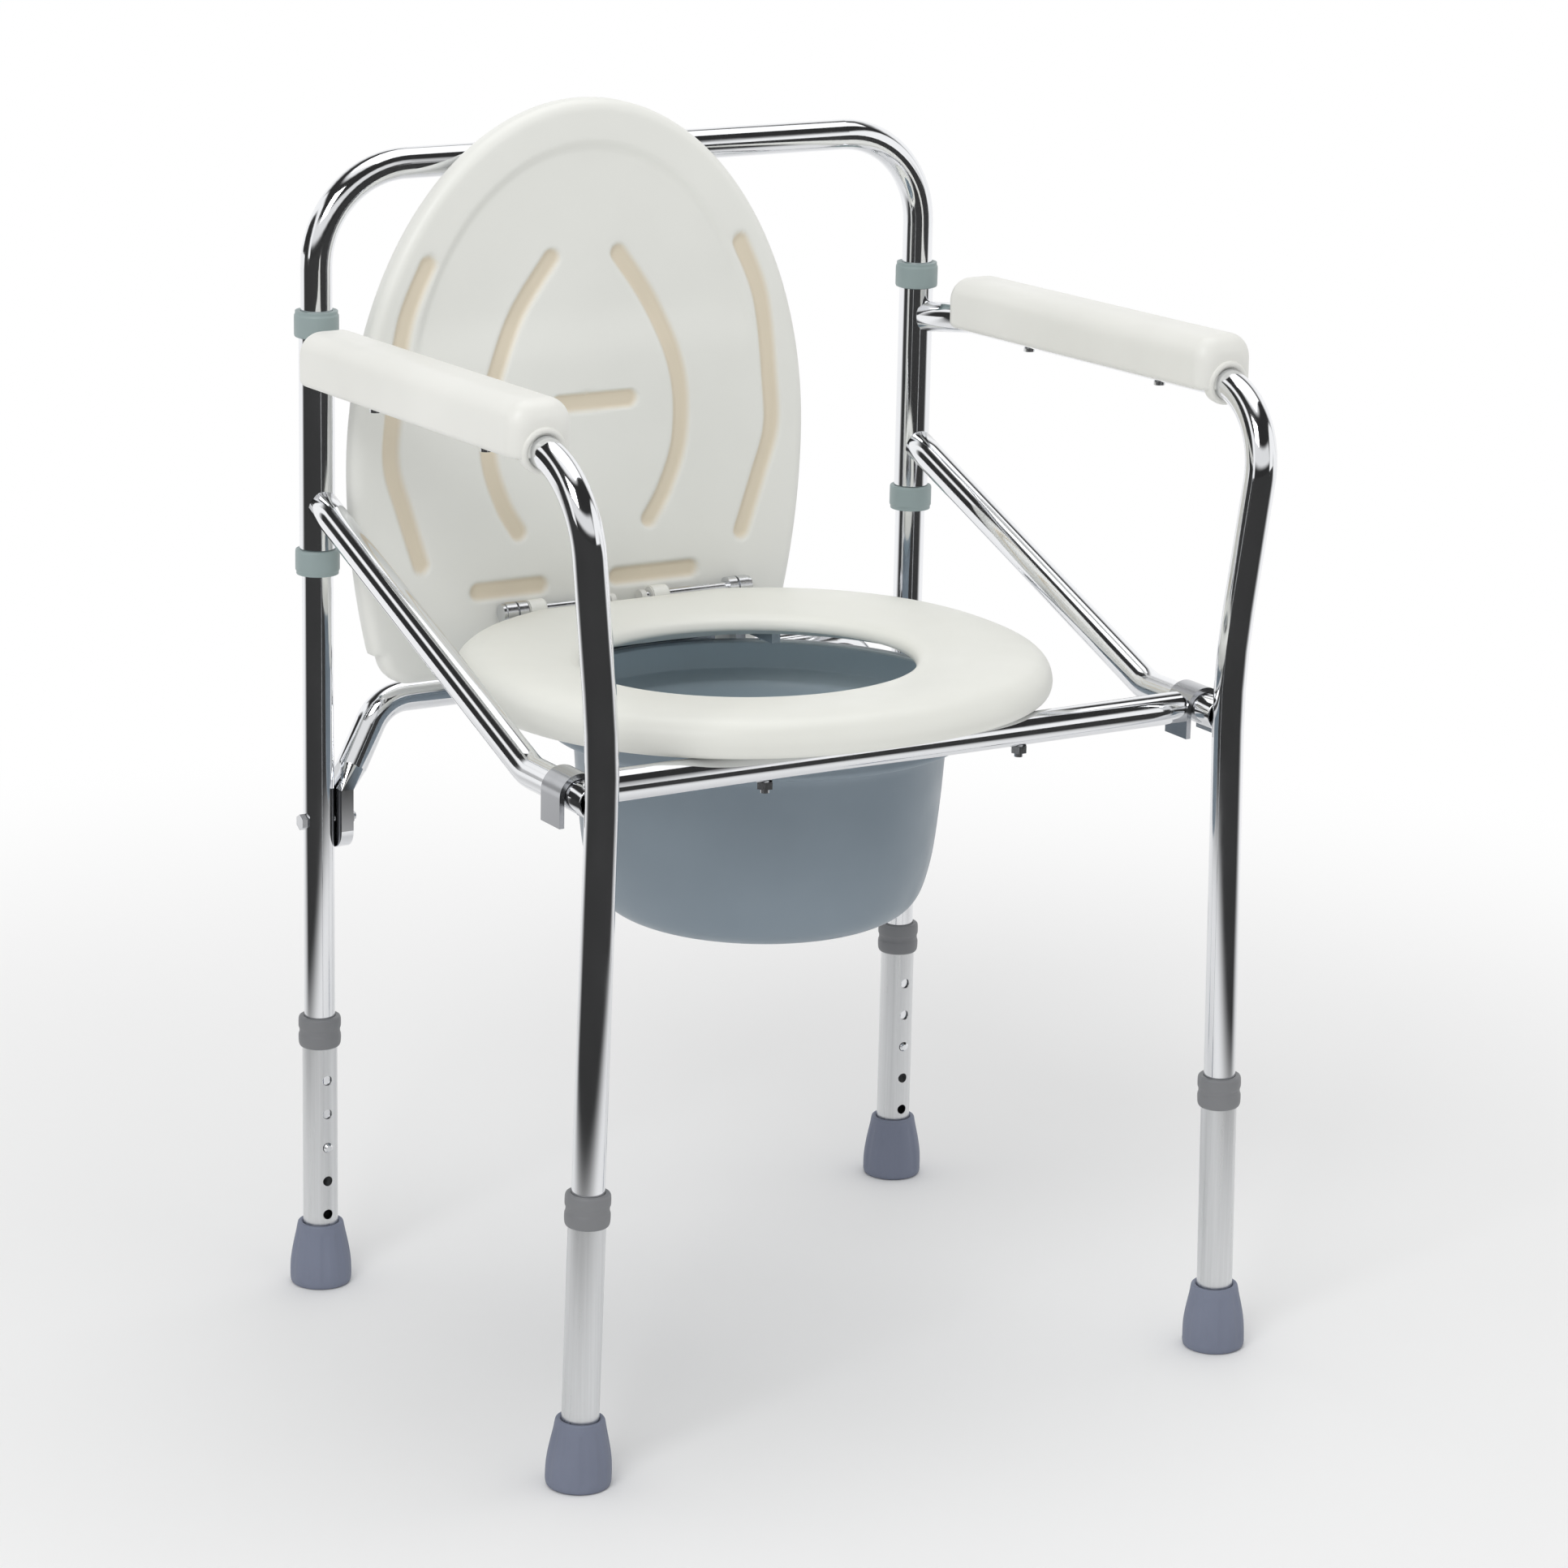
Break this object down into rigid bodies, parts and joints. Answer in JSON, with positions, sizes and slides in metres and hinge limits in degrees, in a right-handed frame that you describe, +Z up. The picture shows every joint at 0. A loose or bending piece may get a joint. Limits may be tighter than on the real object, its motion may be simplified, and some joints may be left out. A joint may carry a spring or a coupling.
{
  "type": "commode chair",
  "caption": "Tubular folding commode chair with armrests, a lift-up oval seat, a hinged lid, a removable pail and telescopic legs on rubber tips.",
  "frame": {"origin": "on the floor, midway between the four feet", "axes": "+Z up, -Y is the way the sitter faces, +X is the sitter's left"},
  "size_m": [0.5744, 0.452, 0.85],
  "materials": {
    "chrome_tube": "polished",
    "plated_steel": "satin",
    "spring_steel": "satin",
    "button_steel": "polished",
    "collar_gray_green": "matte",
    "collar_gray": "matte",
    "extension_aluminium": "satin anodised",
    "tip_rubber": "matte",
    "pad_white": "semi-gloss",
    "seat_white": "semi-gloss",
    "lid_white": "satin",
    "nylon_white": "matte",
    "pail_blue_gray": "satin"
  },
  "bodies": {
    "frame": {"back_hoop": "chrome_tube", "upper_collar_left": "collar_gray_green", "upper_collar_right": "collar_gray_green", "lower_collar_left": "collar_gray_green", "lower_collar_right": "collar_gray_green", "sleeve_left": "chrome_tube", "sleeve_right": "chrome_tube", "arm_leg_tube_left": "chrome_tube", "arm_leg_tube_right": "chrome_tube", "brace_left": "chrome_tube", "brace_right": "chrome_tube", "arm_pad_left": "pad_white", "arm_pad_right": "pad_white", "pad_screws": "plated_steel", "rear_cross_tube": "chrome_tube", "cross_tube_bolts": "plated_steel", "cross_tube_nuts": "plated_steel", "hinge_bracket_left": "plated_steel", "hinge_bracket_right": "plated_steel", "hinge_pins": "plated_steel", "hinge_pin_caps": "nylon_white", "button_springs": "spring_steel"},
    "seat_frame": {"front_crossbar": "chrome_tube", "seat_hook_left": "plated_steel", "seat_hook_right": "plated_steel", "seat_bolts": "plated_steel", "seat_nuts": "plated_steel", "seat_ring": "seat_white", "seat_hinge_lugs": "plated_steel", "seat_lug_screws": "plated_steel", "pail_rail_front": "plated_steel", "pail_rail_rear": "plated_steel", "pail_rail_screws": "plated_steel"},
    "pail_body": {"pail": "pail_blue_gray"},
    "lid_slider": {"lid_bushes": "nylon_white"},
    "lid_body": {"lid": "lid_white", "lid_hinge_arms": "lid_white", "lid_hinge_screws": "plated_steel"},
    "leg_rear_left": {"leg_extension_rear_left": "extension_aluminium", "leg_collar_rear_left": "collar_gray", "rubber_tip_rear_left": "tip_rubber"},
    "button_rear_left": {"leg_button_rear_left": "button_steel"},
    "leg_rear_right": {"leg_extension_rear_right": "extension_aluminium", "leg_collar_rear_right": "collar_gray", "rubber_tip_rear_right": "tip_rubber"},
    "button_rear_right": {"leg_button_rear_right": "button_steel"},
    "leg_front_left": {"leg_extension_front_left": "extension_aluminium", "leg_collar_front_left": "collar_gray", "rubber_tip_front_left": "tip_rubber"},
    "button_front_left": {"leg_button_front_left": "button_steel"},
    "leg_front_right": {"leg_extension_front_right": "extension_aluminium", "leg_collar_front_right": "collar_gray", "rubber_tip_front_right": "tip_rubber"},
    "button_front_right": {"leg_button_front_right": "button_steel"}
  },
  "joints": [
    {"name": "seat_lift", "type": "hinge", "parent": "frame", "child": "seat_frame", "pos_m": [0, 0.166, 0.492], "axis": [-1, 0, 0], "range_deg": [0, 32]},
    {"name": "pail_slide", "type": "slide", "parent": "seat_frame", "child": "pail_body", "axis": [1, 0, 0], "range_m": [-0.07, 0]},
    {"name": "lid_shift", "type": "slide", "parent": "frame", "child": "lid_slider", "axis": [-1, 0, 0], "range_m": [-0.049, 0]},
    {"name": "lid_hinge", "type": "hinge", "parent": "lid_slider", "child": "lid_body", "pos_m": [0, 0.166, 0.492], "axis": [-1, 0, 0], "range_deg": [-90, 0]},
    {"name": "leg_rear_left_adjust", "type": "slide", "parent": "frame", "child": "leg_rear_left", "axis": [0, 0, 1], "range_m": [-0.0508, 0.0508], "deforming": ["leg_button_rear_left"]},
    {"name": "button_rear_left_press", "type": "slide", "parent": "frame", "child": "button_rear_left", "axis": [0, 1, 0], "range_m": [0, 0.004], "stiffness_N_per_m": 900, "springref_m": -0.002, "deforming": ["button_springs"]},
    {"name": "leg_rear_right_adjust", "type": "slide", "parent": "frame", "child": "leg_rear_right", "axis": [0, 0, 1], "range_m": [-0.0508, 0.0508], "deforming": ["leg_button_rear_right"]},
    {"name": "button_rear_right_press", "type": "slide", "parent": "frame", "child": "button_rear_right", "axis": [0, 1, 0], "range_m": [0, 0.004], "stiffness_N_per_m": 900, "springref_m": -0.002, "deforming": ["button_springs"]},
    {"name": "leg_front_left_adjust", "type": "slide", "parent": "frame", "child": "leg_front_left", "axis": [-0.0263, 0, 0.9997], "range_m": [-0.0508, 0.0508], "deforming": ["leg_button_front_left"]},
    {"name": "button_front_left_press", "type": "slide", "parent": "frame", "child": "button_front_left", "axis": [0, -1, 0], "range_m": [0, 0.004], "stiffness_N_per_m": 900, "springref_m": -0.002, "deforming": ["button_springs"]},
    {"name": "leg_front_right_adjust", "type": "slide", "parent": "frame", "child": "leg_front_right", "axis": [0.0263, 0, 0.9997], "range_m": [-0.0508, 0.0508], "deforming": ["leg_button_front_right"]},
    {"name": "button_front_right_press", "type": "slide", "parent": "frame", "child": "button_front_right", "axis": [0, -1, 0], "range_m": [0, 0.004], "stiffness_N_per_m": 900, "springref_m": -0.002, "deforming": ["button_springs"]}
  ]
}
